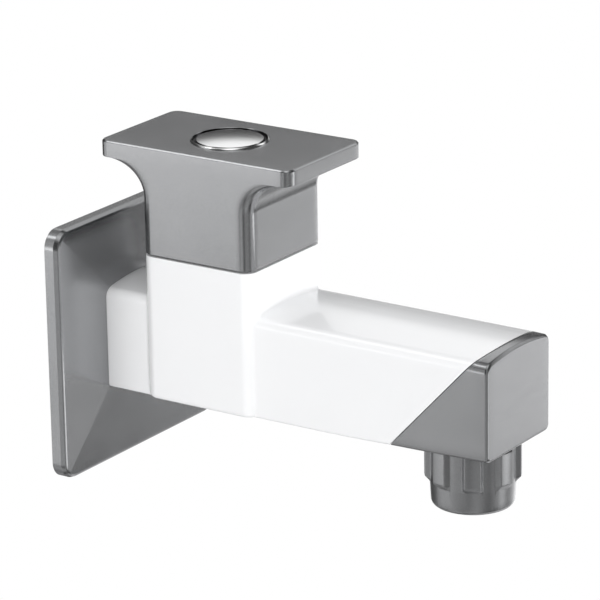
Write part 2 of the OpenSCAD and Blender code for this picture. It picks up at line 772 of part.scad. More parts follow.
module spindle() {
    groove_half = spindle_ring_t / 2 + seat_fit;
    color("goldenrod") translate([tower_x, 0, 0]) difference() {
        union() {
            // Drive bar with round ends, and its two tangs in the moving disc
            upright(bar_z, thrust_z) intersection() {
                circle(d = bar_d);
                square([bar_d, bar_w], center = true);
            }
            upright(bar_z - notch_depth + seat_fit, bar_z + over) intersection() {
                circle(d = bar_d);
                for (side = [-1, 1]) translate([side * (notch_r + seat_fit + bar_d / 2), 0])
                    square([bar_d, bar_w], center = true);
            }
            translate([0, 0, thrust_z]) cylinder(h = thrust_t, d = thrust_d);
            translate([0, 0, thrust_z]) cylinder(h = spline_z - thrust_z, r = spindle_r);
            upright(spline_z - over, spindle_top)
                polygon(tooth_ring(spline_d / 2, spline_d / 2 - spline_depth, spline_teeth));
        }
        for (z = [lower_ring_z, upper_ring_z])
            ring(spindle_r - spindle_ring_t, spindle_r + over, z - groove_half, z + groove_half);
        ring(spindle_r - clip_groove, spindle_r + over, clip_z, clip_z + clip_t);
        translate([0, 0, spindle_top - screw_l]) cylinder(h = screw_l + over, d = screw_d + seat_fit);
    }
}

module spindle_o_ring_lower() {
    color([0.15, 0.15, 0.16]) translate([tower_x, 0, 0]) o_ring(spindle_r, spindle_ring_t, lower_ring_z);
}

module spindle_o_ring_upper() {
    color([0.15, 0.15, 0.16]) translate([tower_x, 0, 0]) o_ring(spindle_r, spindle_ring_t, upper_ring_z);
}

module thrust_washer() {
    color([0.9, 0.9, 0.85]) translate([tower_x, 0, 0])
        ring(spindle_r + seat_fit, thrust_d / 2, washer_z, washer_z + washer_t);
}

// Spring clip with its mouth towards the wall
module retaining_clip() {
    color([0.55, 0.55, 0.57]) translate([tower_x, 0, 0]) difference() {
        ring(spindle_r - clip_groove + face_gap, clip_d / 2, clip_z + face_gap, clip_z + clip_t - face_gap);
        translate([-clip_d / 2, 0, clip_z]) cube([clip_d, clip_mouth, 3 * clip_t], center = true);
    }
}

// Side view of the handle: stem, top plate with bevelled edges, and the hollows under it
module handle_profile() {
    stem = tower_w / 2;
    translate([-stem, skirt_z]) square([tower_w, handle_top - skirt_z - plate_bevel]);
    polygon([[-plate_l / 2, plate_z], [plate_l / 2, plate_z], [plate_l / 2, handle_top - plate_bevel],
        [plate_l / 2 - plate_bevel, handle_top], [-plate_l / 2 + plate_bevel, handle_top],
        [-plate_l / 2, handle_top - plate_bevel]]);
    for (side = [-1, 1]) translate([side * stem, plate_z]) scale([side, -1]) spandrel(grip_r);
}

// Front view of the handle: a plain block with bevelled top edges
module handle_front() {
    half = tower_w / 2;
    polygon([[-half, skirt_z], [half, skirt_z], [half, handle_top - plate_bevel],
        [half - plate_bevel, handle_top], [-half + plate_bevel, handle_top], [-half, handle_top - plate_bevel]]);
}

// Rounds one upright corner of the stem and lets the rounding run out under the plate
module stem_corner_cut() {
    half = tower_w / 2;
    start_z = plate_z - grip_r - tower_corner;
    difference() {
        translate([half - tower_corner, half - tower_corner, skirt_z - over])
            cube([tower_corner + over, tower_corner + over, start_z - skirt_z + over]);
        translate([half - tower_corner, half - tower_corner, skirt_z - 2 * over])
            cylinder(h = start_z - skirt_z + 3 * over, r = tower_corner);
    }
    translate([half + grip_r, 0, start_z]) rotate([90, 0, 0]) rotate([0, 0, 90])
        rotate_extrude(angle = 90, $fn = 128)
            translate([grip_r, -half]) spandrel_out(tower_corner);
}

// The same corner waste as a flat shape, with its sharp corner at the origin and a lip outside it
module spandrel_out(r) {
    difference() {
        translate([0, -over]) square([r, r + over]);
        translate([r, r]) circle(r);
    }
}

module handle() {
    bore_w = tower_w - 2 * skirt_wall;
    hollow_z = skirt_z + skirt_hollow;
    color(silver) translate([tower_x, 0, 0]) difference() {
        intersection() {
            along_y(-tower_w / 2, tower_w / 2) handle_profile();
            along_x(-plate_l / 2, plate_l / 2) handle_front();
            upright(skirt_z, handle_top) round_rect(plate_l, tower_w, plate_corner);
        }
        for (sx = [0, 1], sy = [0, 1]) mirror([sx, 0, 0]) mirror([0, sy, 0]) stem_corner_cut();
        // Hollow skirt round a central boss
        difference() {
            upright(skirt_z - over, hollow_z) round_rect(bore_w, bore_w, hollow_corner);
            translate([0, 0, boss_z]) cylinder(h = handle_top - boss_z, d = boss_d);
        }
        // Splined socket, screw hole, head recess and the index cap's recess
        upright(boss_z - over, socket_top)
            polygon(tooth_ring(spline_d / 2 + seat_fit, spline_d / 2 - spline_depth + seat_fit, spline_teeth));
        translate([0, 0, boss_z]) cylinder(h = handle_top - boss_z, d = screw_d + 2 * loose_fit);
        translate([0, 0, screw_seat_z]) cylinder(h = handle_top - screw_seat_z, d = screw_head_d + 4 * loose_fit);
        translate([0, 0, recess_z]) cylinder(h = recess_depth + over, r = index_r + seat_fit);
    }
}

// Pan-head screw with a cross recess
module handle_screw() {
    color([0.75, 0.75, 0.77]) translate([tower_x, 0, screw_seat_z]) difference() {
        union() {
            translate([0, 0, -screw_l]) cylinder(h = screw_l + over, d = screw_d);
            intersection() {
                cylinder(h = screw_head_h, d = screw_head_d);
                translate([0, 0, screw_head_h - screw_head_d]) sphere(r = screw_head_d, $fn = 96);
            }
        }
        for (turn = [0, 90]) rotate(turn)
            translate([0, 0, screw_head_h]) cube([screw_head_d / 2, screw_slot_w, screw_head_h], center = true);
    }
}

// Low domed cap on a snap skirt
module index_cap() {
    rim_r = index_r - index_round;
    rim_z = index_top - index_crown - index_round;
    dome_r = (pow(rim_r, 2) + pow(index_crown, 2)) / (2 * index_crown);
    low = index_top - index_t;
    skirt_r = index_r - index_wall;
    color([0.85, 0.86, 0.87]) translate([tower_x, 0, 0]) rotate_extrude($fn = 128) {
        intersection() {
            translate([0, low]) square([rim_r, index_t]);
            translate([0, index_top - dome_r]) circle(dome_r, $fn = 256);
        }
        translate([rim_r, rim_z]) circle(index_round);
        translate([0, low]) square([index_r, rim_z - low]);
        translate([skirt_r - index_wall, recess_z + seat_fit]) square([index_wall, low - recess_z]);
    }
}

wall_flange();
body();
spout_end_cap();
nozzle_shell();
nozzle_washer();
aerator_ring();
jet_plate();
aerator_screen_upper();
aerator_screen_lower();
aerator_cup();
valve_housing();
housing_o_ring();
seat_seal();
fixed_disc();
moving_disc();
spindle();
spindle_o_ring_lower();
spindle_o_ring_upper();
thrust_washer();
retaining_clip();
handle();
handle_screw();
index_cap();
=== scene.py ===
"""Wall bib cock with a square flange, a white square-section body and a quarter-turn handle.

Shapes are worked out in millimetres in the frame of the CAD model: X leaves the wall along the spout,
Z is up, and the origin is where the inlet's axis meets the wall. Meshes are stored in metres.
"""
import math
import bmesh
import bpy
import numpy as np
from mathutils import Matrix


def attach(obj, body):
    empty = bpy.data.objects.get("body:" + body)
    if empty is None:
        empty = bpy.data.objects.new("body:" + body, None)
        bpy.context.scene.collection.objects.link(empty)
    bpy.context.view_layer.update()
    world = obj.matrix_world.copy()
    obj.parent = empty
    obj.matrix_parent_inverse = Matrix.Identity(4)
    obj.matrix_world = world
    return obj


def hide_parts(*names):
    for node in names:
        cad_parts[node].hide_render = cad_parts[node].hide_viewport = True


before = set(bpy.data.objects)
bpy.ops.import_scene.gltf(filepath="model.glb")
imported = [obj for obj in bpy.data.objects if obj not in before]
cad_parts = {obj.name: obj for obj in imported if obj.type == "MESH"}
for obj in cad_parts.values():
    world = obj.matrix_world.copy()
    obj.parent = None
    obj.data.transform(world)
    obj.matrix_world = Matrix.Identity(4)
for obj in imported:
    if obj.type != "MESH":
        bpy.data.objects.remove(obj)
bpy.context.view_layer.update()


# Wall flange
# A square cover of moulded plastic under a metallic silver lacquer. Its shallow four-sided face hides the
# hole in the wall; behind, it is hollow and ribbed. It slides over the inlet's collar, and the arm traps it.

rim_half, rim_corner, rim_round, rim_deep = 36.5, 5.2, 1.153, 1.528
face_edge_x, face_rise, flange_wall = 4.5, 1.3, 1.8
socket_x, socket_room, collar_hole_r = 3.4, 0.2, 11.4
rib_in, rib_out, rib_half, rib_deep = 13.0, 34.9, 0.9, 3.5
# Where the face's rings lose the rim's round corners
sharp_half, sharp_corner = 33.9, 0.4
# The arm, which the flange's socket follows
arm_half, arm_floor, arm_crown = 16.4, -13.7, 17.0
arch_r, shoulder_r, low_edge_r = 76.0, 2.8, 0.9


def rounded_rectangle(half_x, half_y, corner_x, corner_y=None, side=24, arc=8):
    """Outline of a rectangle with elliptic corners, anticlockwise from the +X side.

    Each corner is a quarter ellipse (centre + (corner_x cos t, corner_y sin t)); straight runs join them.
    """
    corner_y = corner_x if corner_y is None else corner_y
    sign = np.array([[1, 1], [-1, 1], [-1, -1], [1, -1]], float)
    turn = np.radians(np.linspace(0, 90, arc + 1)[None, :] + 90 * np.arange(4)[:, None])
    bend = np.stack([np.cos(turn) * corner_x, np.sin(turn) * corner_y], -1)
    centre = sign * [half_x - corner_x, half_y - corner_y]
    arcs = centre[:, None] + bend
    ends, starts = arcs[:, -1:], np.roll(arcs[:, :1], -1, axis=0)
    step = np.linspace(0, 1, side + 1)[None, 1:-1, None]
    return np.concatenate([arcs, ends + (starts - ends) * step], axis=1).reshape(-1, 2)


def arm_outline(inset=0.0, crown=16.95, floor=arm_floor, low_round=low_edge_r):
    """Section of the arm and spout in Y and Z, anticlockwise from the floor, with its outward normals.

    A flat floor, upright sides and an arched top, joined by arcs that touch both neighbours; inset moves the
    whole outline inwards. Each arc is its centre, radius, first and last angle, steps, and steps to the next.
    """
    half, low, arch = arm_half - inset, floor + inset, arch_r - inset
    top_r, low_r = max(shoulder_r - inset, 0.4), max(low_round - inset, 0.2)
    arch_z = crown - arch_r
    top_y = half - top_r
    top_z = arch_z + math.sqrt((arch - top_r) ** 2 - top_y ** 2)
    lean = math.degrees(math.asin(top_y / (arch - top_r)))
    low_steps, top_steps, long_steps = 6, 9, 24
    arcs = [(half - low_r, low + low_r, low_r, -90, 0, low_steps, long_steps // 2),
            (top_y, top_z, top_r, 0, 90 - lean, top_steps, 0),
            (0, arch_z, arch, 90 - lean, 90 + lean, long_steps, 0),
            (-top_y, top_z, top_r, 90 + lean, 180, top_steps, long_steps // 2),
            (low_r - half, low + low_r, low_r, 180, 270, low_steps, long_steps)]
    points, normals = [], []
    for k, (cy, cz, r, first, last, steps, run) in enumerate(arcs):
        starts_on_last = k in (2, 3)
        t = np.radians(np.linspace(first, last, steps + 1))[int(starts_on_last):]
        facing = np.stack([np.cos(t), np.sin(t)], -1)
        points.append([cy, cz] + r * facing)
        normals.append(facing)
        if run:
            ny, nz, nr, start = arcs[(k + 1) % 5][:4]
            start = math.radians(start)
            goal = np.array([ny + nr * math.cos(start), nz + nr * math.sin(start)])
            mix = np.linspace(0, 1, run + 1)[1:-1, None]
            points.append(points[-1][-1] + (goal - points[-1][-1]) * mix)
            normals.append(np.repeat(facing[-1:], run - 1, axis=0))
    return np.concatenate(points), np.concatenate(normals)


def bearings(points):
    """Bearing of each point of an outline, as seen from the axis."""
    return np.arctan2(points[:, 1], points[:, 0])


def circle(radius, angles):
    """Points of a circle at these bearings."""
    return radius * np.stack([np.cos(angles), np.sin(angles)], -1)


def cast(points, angles):
    """Where rays from the axis at these bearings cross a closed outline.

    Each crossing lies on the edge between two neighbours, at the share of it where the distance off the ray
    (the cross product of the ray and the point) passes through zero.
    """
    order = np.argsort(bearings(points))
    near = np.concatenate([points[order[-1:]], points[order], points[order[:1]]])
    about = bearings(near)
    about[0] -= 2 * math.pi
    about[-1] += 2 * math.pi
    at = np.clip(np.searchsorted(about, angles, side="right"), 1, len(near) - 1)
    a, b = near[at - 1], near[at]
    ray = circle(1, angles)
    off_a = ray[:, 0] * a[:, 1] - ray[:, 1] * a[:, 0]
    off_b = ray[:, 0] * b[:, 1] - ray[:, 1] * b[:, 0]
    apart = np.where(off_a == off_b, 1, off_a - off_b)
    tiny = 1e-12
    share = np.where(np.abs(off_a - off_b) > tiny, off_a / apart, 0)
    return a + (b - a) * share[:, None]


def along_x(x, outline):
    """Sets an outline in Y and Z upright at X, which may differ from point to point."""
    return np.column_stack([np.broadcast_to(x, len(outline)), outline])


def knit(name, sheets, material, body, nodes, sharp=32):
    """Sews rings of points into one mesh: sheets holds arrays of (rings, points, 3) in millimetres.

    A quad joins each pair of neighbours in two neighbouring rings, and the last point joins the first. A ring
    of equal points closes a pole, and a last ring equal to the first closes a loop. Edges are sharp from the
    angle sharp, in degrees.
    """
    verts, faces, base = [], [], 0
    for sheet in sheets:
        rings, count = sheet.shape[:2]
        r, c = np.arange(rings - 1)[:, None] * count, np.arange(count)[None, :]
        d = (c + 1) % count
        faces.append(np.stack([r + c, r + d, r + count + d, r + count + c], -1).reshape(-1, 4) + base)
        verts.append(sheet.reshape(-1, 3))
        base += rings * count
    mesh = bpy.data.meshes.new(name)
    mesh.from_pydata((np.concatenate(verts) * 0.001).tolist(), [], np.concatenate(faces).tolist())
    shell = bmesh.new()
    shell.from_mesh(mesh)
    same_point, no_length = 2e-6, 1e-7
    bmesh.ops.remove_doubles(shell, verts=shell.verts, dist=same_point)
    bmesh.ops.dissolve_degenerate(shell, dist=no_length, edges=shell.edges)
    bmesh.ops.recalc_face_normals(shell, faces=shell.faces)
    shell.to_mesh(mesh)
    shell.free()
    mesh.shade_smooth()
    mesh.set_sharp_from_angle(angle=math.radians(sharp))
    mesh.materials.append(material)
    piece = bpy.data.objects.new(name, mesh)
    bpy.context.collection.objects.link(piece)
    weighted = piece.modifiers.new("keep_flats_flat", "WEIGHTED_NORMAL")
    weighted.keep_sharp = True
    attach(piece, body)
    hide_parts(*nodes)


def join(tree, node, sockets):
    """Sets a shader node's sockets by name or number; a value that is itself a socket is linked."""
    for key, value in sockets.items():
        if isinstance(value, bpy.types.NodeSocket):
            tree.links.new(value, node.inputs[key])
        else:
            node.inputs[key].default_value = value


def add(tree, kind, sockets=None, **settings):
    """Adds a shader node with these settings and sockets."""
    made = tree.nodes.new("ShaderNode" + kind)
    for field, value in settings.items():
        setattr(made, field, value)
    join(tree, made, sockets or {})
    return made


def grained(tree, place, scale, detail, stretch=(1, 1, 1)):
    """A noise pattern at this scale (per metre), stretched along the axes by a Mapping node."""
    spread = add(tree, "Mapping", {"Vector": place, "Scale": stretch})
    return add(tree, "TexNoise", {"Vector": spread.outputs[0], "Scale": scale, "Detail": detail}).outputs[0]


def between(tree, value, low, high, start=0.0, end=1.0):
    """Maps a value from start..end to low..high."""
    return add(tree, "MapRange", {"Value": value, "From Min": start, "From Max": end, "To Min": low,
                                  "To Max": high}).outputs[0]


def worked(tree, operation, *values):
    """The result of one sum on shader values."""
    return add(tree, "Math", dict(enumerate(values)), operation=operation).outputs[0]


def tinted(tree, share, dark, light):
    """Mixes two colours by a share of 0 to 1; either may be another node's colour."""
    ends = [(*end, 1) if isinstance(end, tuple) else end for end in (dark, light)]
    return add(tree, "Mix", {0: share, 6: ends[0], 7: ends[1]}, data_type="RGBA").outputs[2]


def bumped(tree, height, strength, deep):
    """Relief from a pattern, this deep in metres at full strength."""
    return add(tree, "Bump", {"Strength": strength, "Distance": deep, "Height": height}).outputs[0]


def finish(name):
    """A new material: its node tree, its principled shader and the object's own coordinates."""
    made = bpy.data.materials.new(name)
    made.use_nodes = True
    tree = made.node_tree
    return made, tree, tree.nodes["Principled BSDF"], add(tree, "TexCoord").outputs["Object"]


def silver_lacquer(name, matt=0.0):
    """Fine aluminium flakes under a clear coat, with faint orange peel, clouding and polishing marks."""
    made, tree, skin, place = finish(name)
    flakes = add(tree, "TexVoronoi", {"Vector": place, "Scale": 5200})
    glint = add(tree, "SeparateColor", {"Color": flakes.outputs["Color"]})
    cloud = grained(tree, place, 55, 3)
    marks = grained(tree, place, 900, 2, (1.0, 0.12, 1.0))
    peel = grained(tree, place, 620, 1)
    tone = worked(tree, "MULTIPLY_ADD", glint.outputs[0], 0.6, between(tree, cloud, 0.0, 0.4, 0.3, 0.7))
    smooth = between(tree, cloud, 0.18 + matt, 0.21 + matt, 0.3, 0.7)
    join(tree, skin, {
        "Base Color": tinted(tree, tone, (0.32, 0.324, 0.332), (0.385, 0.389, 0.397)),
        "Roughness": worked(tree, "MULTIPLY_ADD", marks, 0.06, smooth),
        "Normal": bumped(tree, glint.outputs[1], 0.12, 0.00003),
        "Coat Normal": bumped(tree, peel, 0.25, 0.00002),
        "Metallic": 0.95, "Coat Weight": 0.1, "Coat Roughness": 0.05})
    return made


silver = silver_lacquer("silver_lacquer")


def face_x(outline):
    """Height of the four-sided face.

    Each side is a plane that climbs from the rim to the arm, and the lowest of the four planes counts, so the
    ridges run from the rim's corners to the arm's.
    """
    edge = rim_half - rim_round
    y, z = np.abs(outline[:, 0]), outline[:, 1]
    climb = np.minimum((edge - y) / (edge - arm_half),
                       np.minimum((edge - z) / (edge - arm_crown), (edge + z) / (edge + arm_floor)))
    return face_edge_x + face_rise * np.clip(climb, 0, 1.1)


def rim_ring(x, half, corner):
    """A rounded square at this X, or on the face where X is None."""
    outline = rounded_rectangle(half, half, corner, side=30, arc=24)
    return along_x(face_x(outline) if x is None else x, outline)


def slope_ring(share):
    """A ring of the face: the outline moves evenly from the rim (0) to a rectangle round the arm (1)."""
    edge = rim_half - rim_round
    square = rounded_rectangle(1, 1, 0.01, side=30, arc=24)
    reach_y = edge + (arm_half - edge) * share
    low, high = -edge + (arm_floor + edge) * share, edge + (arm_crown - edge) * share
    outline = np.column_stack([square[:, 0] * reach_y, (low + high) / 2 + square[:, 1] * (high - low) / 2])
    return along_x(face_x(outline), outline)


# The rim's front edge, as insets and heights: a soft round, a bevel 21 degrees off the side, a small round,
# and a shallow strip beside the face. Each arc goes on from the last, after a straight run where it has one.
brow = [(0.0, 0.0)]
for run, radius, first, last, steps in [(0, 0.5, 0, 21, 7), (1.07, 0.35, 21, 70, 14), (0, 3.58, 70, 78, 4),
                                        (0, 0.35, 78, 84, 2)]:
    t = np.radians(np.linspace(first, last, steps + 1))
    inset = brow[-1][0] + run * math.sin(t[0]) + radius * (math.cos(t[0]) - np.cos(t))
    up = brow[-1][1] + run * math.cos(t[0]) + radius * (np.sin(t) - math.sin(t[0]))
    brow += list(zip(inset, up))[0 if run else 1:]

rings = [rim_ring(0, rim_half, rim_corner)]
rings += [rim_ring(face_edge_x - rim_deep + up, rim_half - inset, rim_corner - inset) for inset, up in brow]
rings += [rim_ring(None, half, corner) for half, corner in
          zip(np.linspace(rim_half - rim_round, sharp_half, 6),
              np.linspace(rim_corner - rim_round, sharp_corner, 6))]
rings += [slope_ring(share) for share in np.linspace(0.12, 0.96, 6)]

# The socket for the arm, the hole for the collar, and the wall's inner side back to the rim
way = bearings(slope_ring(1)[:, 1:])
socket = cast(arm_outline(-socket_room)[0], way)
behind = cast(arm_outline(-socket_room - flange_wall)[0], way)
hole, sleeve = circle(collar_hole_r, way), circle(collar_hole_r + flange_wall, way)
inner_x = socket_x - flange_wall
rings += [along_x(x, outline) for x, outline in
          [(face_x(socket), socket), (socket_x, socket), (socket_x, hole), (0, hole), (0, sleeve),
           (inner_x, sleeve), (inner_x, behind), (face_x(behind) - flange_wall, behind)]]
rings += [rim_ring(x, rim_half - flange_wall, rim_corner - flange_wall)
          for x in (face_edge_x - flange_wall, 0)]
sheets = [np.array(rings + rings[:1])]

for turn in np.radians([0, 90, 180, 270]):
    bar = np.array([[rib_in, -rib_half], [rib_out, -rib_half], [rib_out, rib_half], [rib_in, rib_half]])
    bar = bar @ np.array([[math.cos(turn), math.sin(turn)], [-math.sin(turn), math.cos(turn)]])
    middle = np.repeat(bar.mean(axis=0)[None], 4, axis=0)
    sheets.append(np.array([along_x(x, outline) for x, outline in
                            [(0, middle), (0, bar), (rib_deep, bar), (rib_deep, middle)]]))

# The face's planes meet at shallow ridges, so edges are sharp from a small angle
knit("wall_flange_lacquered", sheets, silver, "fixed_parts", ["wall_flange"], sharp=4.2)


# Body
# One glossy white moulding: the threaded inlet, the arm, the square tower round the valve and the spout. A
# small fillet runs round the arm where it enters the tower, and the spout ends on the cap's sloping joint.
# The waterways inside are left to the solid.

inlet_low, inlet_bore_r, inlet_bore_deep, collar_r = -15, 6.5, 7, 11.2
thread_pitch, thread_r, thread_deep = 1.814, 10.4775, 1.162
arm_end, spout_root, spout_end_x = 21.0, 54.7, 112
plug_inset, plug_long = 2.2, 4
tower_x, tower_half, tower_corner, tower_top = 37.9, 18.25, 3.5, 28.2
foot_round, chamber_r, chamber_low = 1.3, 12, 3
joint_foot, joint_slope = 99.0, math.tan(math.radians(46.9))
around = bearings(arm_outline()[0])
quarter = np.radians(np.linspace(0, 90, 7))


def white_plastic():
    """Glossy white plastic with faint orange peel, slow tone changes and hairline marks."""
    made, tree, skin, place = finish("white_plastic")
    hair = grained(tree, place, 700, 3, (0.06, 1.0, 1.0))
    join(tree, skin, {
        "Base Color": tinted(tree, grained(tree, place, 45, 2), (0.895, 0.90, 0.912), (0.915, 0.92, 0.928)),
        "Roughness": between(tree, hair, 0.13, 0.22, 0.3, 0.75),
        "Normal": bumped(tree, grained(tree, place, 420, 1), 0.2, 0.00002),
        "Coat Weight": 0.3, "Coat Roughness": 0.06})
    return made


def crown_at(x):
    """Height of the arched top: it falls slightly and evenly from the wall to the spout's end."""
    fall, start, run = 0.6, 20, 110
    return arm_crown - fall * (x - start) / run


def tip_outline(x, inset=0.0):
    """Section of the spout at X.

    Towards its end the floor rises and the lower edges grow rounder, both as the square of the way.
    """
    start, run, floor_rise, rounder = 80, 50, 0.75, 1.0
    share = max(0.0, (x - start) / run) ** 2
    return arm_outline(inset, crown_at(x), arm_floor + floor_rise * share, low_edge_r + rounder * share)[0]


def thread_ring(x):
    """Pipe thread: the radius follows a soft-edged wave of -(X / pitch + bearing / full turn).

    That makes a left-hand helix, where a real pipe thread is right-handed. It leads in from a chamfer, and
    runs out before the collar.
    """
    root_r, chamfer_r, chamfer_slope, out_start, out_run = 9.1, 9.2, 0.9, 0.4, 1.6
    phase = (-x / thread_pitch - around / (2 * math.pi)) % 1
    wave = 1 - 2 * np.abs(phase - 0.5)
    wave = wave * wave * (3 - 2 * wave)
    fade = np.clip((-x - out_start) / out_run, 0, 1)
    chamfer = chamfer_r + chamfer_slope * (x - inlet_low)
    radius = np.minimum(thread_r - thread_deep * (1 - wave) * fade, chamfer)
    return along_x(x, np.maximum(radius, root_r)[:, None] * circle(1, around))


# From the bore's floor out to the inlet's end, back along the thread and over the collar, then along the arm
rings = [along_x(x, circle(r, around)) for x, r in
         [(inlet_bore_deep, 0), (inlet_bore_deep, inlet_bore_r), (inlet_low + 0.5, inlet_bore_r),
          (inlet_low, inlet_bore_r + 0.5)]]
rings += [thread_ring(x) for x in np.linspace(inlet_low, 0, 84)]
rings += [along_x(x, circle(r, around)) for x, r in
          [(0.2, thread_r), (0.2, collar_r - 0.2), (0.4, collar_r), (socket_x, collar_r)]]
rings += [along_x(x, arm_outline(0, crown_at(x))[0]) for x in np.linspace(socket_x, arm_end, 5)]
rings.append(along_x(arm_end, circle(0, around)))
inlet_and_arm = np.array(rings)


def on_joint(outline, ahead=0.0):
    """X of the sloping joint at each point of an outline, moved ahead by a distance along X."""
    return joint_foot + ahead + (outline[:, 1] - arm_floor) / joint_slope


# The spout starts inside the tower and ends on the joint, with a short plug that goes into the end cap
spout_end, plug = tip_outline(spout_end_x), tip_outline(spout_end_x, plug_inset)
rings = [along_x(spout_root, circle(0, around))]
rings += [along_x(spout_root + (on_joint(spout_end) - spout_root) * share,
                  tip_outline(spout_root + (spout_end_x - spout_root) * share))
          for share in np.linspace(0, 1, 13)]
rings += [along_x(on_joint(plug), plug), along_x(on_joint(plug, plug_long), plug)]
middle = np.repeat(plug.mean(axis=0)[None], len(plug), axis=0)
rings.append(along_x(on_joint(middle, plug_long), middle))
spout = np.array(rings)


def about_tower(outline, z):
    """Sets an outline in X and Y level at this height, about the tower's axis."""
    return np.column_stack([outline[:, 0] + tower_x, outline[:, 1], np.full(len(outline), z)])


def tower_ring(z, inset=0.0):
    """The tower's rounded square at this height."""
    return about_tower(rounded_rectangle(tower_half - inset, tower_half - inset, tower_corner - inset), z)


def tower_circle(z, radius):
    """A circle about the tower's axis, with the points of the tower's ring."""
    return about_tower(circle(radius, bearings(rounded_rectangle(tower_half, tower_half, tower_corner))), z)


rings = [tower_circle(arm_floor, 0)]
rings += [tower_ring(arm_floor + foot_round * (1 - math.sin(t)), foot_round * (1 - math.cos(t)))
          for t in quarter[::-1]]
rings += [tower_ring(z, inset) for z, inset in
          [(0, 0), (tower_top - 0.3, 0), (tower_top - 0.09, 0.09), (tower_top, 0.3)]]
rings += [tower_circle(z, r) for z, r in [(tower_top, chamber_r), (chamber_low, chamber_r), (chamber_low, 0)]]
tower = np.array(rings)


def rolling_fillet(side):
    """The surface a ball leaves as it rolls round the arm and against the tower, in front (1) or behind (-1).

    The ball's centre is the arm's outline moved out by its radius, at the X where it touches the tower's flat
    or round corner. Each row lies at one share of the arc from the arm's contact to the tower's, and the last
    rows close the strip inside the two solids. The ball shrinks away below, where tower and arm share one
    floor.
    """
    least, growth, start_z, run_z, into_tower, into_arm = 0.05, 1.15, -12.9, 1.3, 1.4, 0.6
    edge, facing = arm_outline(0, crown_at(tower_x + side * tower_half))
    ball = least + growth * np.clip((edge[:, 1] - start_z) / run_z, 0, 1)
    centre = edge + facing * ball[:, None]
    flat = tower_half - tower_corner
    beyond = np.maximum(np.abs(centre[:, 0]) - flat, 0)
    run = np.sqrt(np.maximum((tower_corner + ball) ** 2 - beyond ** 2, 0))
    centre = np.column_stack([tower_x + side * (flat + run), centre])
    to_arm = np.column_stack([np.zeros(len(edge)), -facing])
    to_tower = -np.column_stack([side * run, np.sign(centre[:, 1]) * beyond, np.zeros(len(edge))])
    to_tower /= np.linalg.norm(to_tower, axis=1)[:, None]
    span = np.arccos(np.clip((to_arm * to_tower).sum(axis=1), -1, 1))[:, None]
    rows = []
    for share in np.linspace(0, 1, 9):
        turned = np.sin((1 - share) * span) * to_arm + np.sin(share * span) * to_tower
        rows.append(centre + ball[:, None] * turned / np.sin(span))
    inner = along_x(tower_x + side * (tower_half - into_tower), edge - into_arm * facing)
    return np.array(rows + [inner, rows[0]])


knit("body_moulding", [inlet_and_arm, tower, spout, rolling_fillet(1), rolling_fillet(-1)], white_plastic(),
     "fixed_parts", ["body"])


# Spout end cap
# A thin lacquered shell pushed over the spout's end. It meets the white body along one sloping plane, with a
# hair of open joint, and the nozzle's neck clamps it from below.

front_x, front_round, shell_wall, cap_long, cap_centre_z = 130.6, 0.9, 2.0, 18, 1.5
joint_gap, bevel_in, bevel_long = 0.25, 0.12, 0.13


def cap_ring(share, inset=0.0, front=front_x - front_round, ahead=joint_gap):
    """Outline between the sloping joint (share 0) and a plane in front (share 1)."""
    outline = tip_outline(spout_end_x + cap_long * share, inset)
    start = on_joint(outline, ahead)
    return along_x(start + (front - start) * share, outline)


def cap_centre(x):
    """A ring whose points all lie on the cap's middle, which closes an end wall."""
    return along_x(x, circle(0, around) + [0, cap_centre_z])


rings = [cap_ring(0, bevel_in), cap_ring(0, ahead=joint_gap + bevel_long)]
rings += [cap_ring(share) for share in (0.3, 0.6, 1)]
rings += [cap_ring(1, front_round * (1 - math.cos(t)), front_x - front_round * (1 - math.sin(t)))
          for t in quarter[1:]]
rings += [cap_ring(1, inset, front_x) for inset in (4, 9)] + [cap_centre(front_x)]
inner_front = front_x - shell_wall
inside = [cap_centre(inner_front), cap_ring(1, shell_wall, inner_front), cap_ring(0, shell_wall)]
knit("spout_end_cap_lacquered", [np.array(rings), np.array(inside + rings[:1])], silver, "fixed_parts",
     ["spout_end_cap"])


# Nozzle shell
# The ribbed nozzle is moulded plastic under the same lacquer, more matt. Eight ribs give a grip to screw it
# up by hand, and its neck, left plain here, goes through the end cap into the body.

nozzle_x, rib_count, rib_turn = 116.2, 8, -14.5
barrel_r, rib_r, tip_r, barrel_bore, neck_r, neck_bore = 11.8, 13.3, 11.45, 9.3, 9.5, 7.2
rib_low, rib_high, nozzle_low, lip_round = -24.7, -13.8, -31.45, 1.3
shoulder_z, neck_top, neck_bevel, bore_bevel = -18.2, -3.5, 0.5, 0.2

# Half a rib and its gap: bearings off the rib's middle in degrees, and the share of the rib's height there
half_bearings = np.array([-22.5, -19, -16.5, -14.4, -13.9, -13.4, -12.8, -10.4, -9.8, -9.3, -8.7, -6, -3, 0])
half_heights = np.array([0, 0, 0, 0, 0.03, 0.12, 0.24, 0.80, 0.92, 0.98, 1, 1, 1, 1])
cell = np.concatenate([half_bearings, -half_bearings[-2:0:-1]])
column = np.radians((rib_turn + cell[None, :] + np.arange(rib_count)[:, None] * 360 / rib_count).ravel())
height = np.tile(np.concatenate([half_heights, half_heights[-2:0:-1]]), rib_count)


def nozzle_ring(z, radius, rib=0.0):
    """A ring of the nozzle: the barrel's radius, and the ribs' height over it where they stand."""
    reach = radius + height * np.clip(rib - radius, 0, None)
    forward, aside = reach * np.cos(column), reach * np.sin(column)
    return np.column_stack([nozzle_x + forward, aside, np.full(len(column), z)])


def barrel(z):
    """The barrel tapers slightly below the ribs."""
    return barrel_r + (tip_r - barrel_r) * max(0.0, (rib_low - z) / (rib_low - nozzle_low))


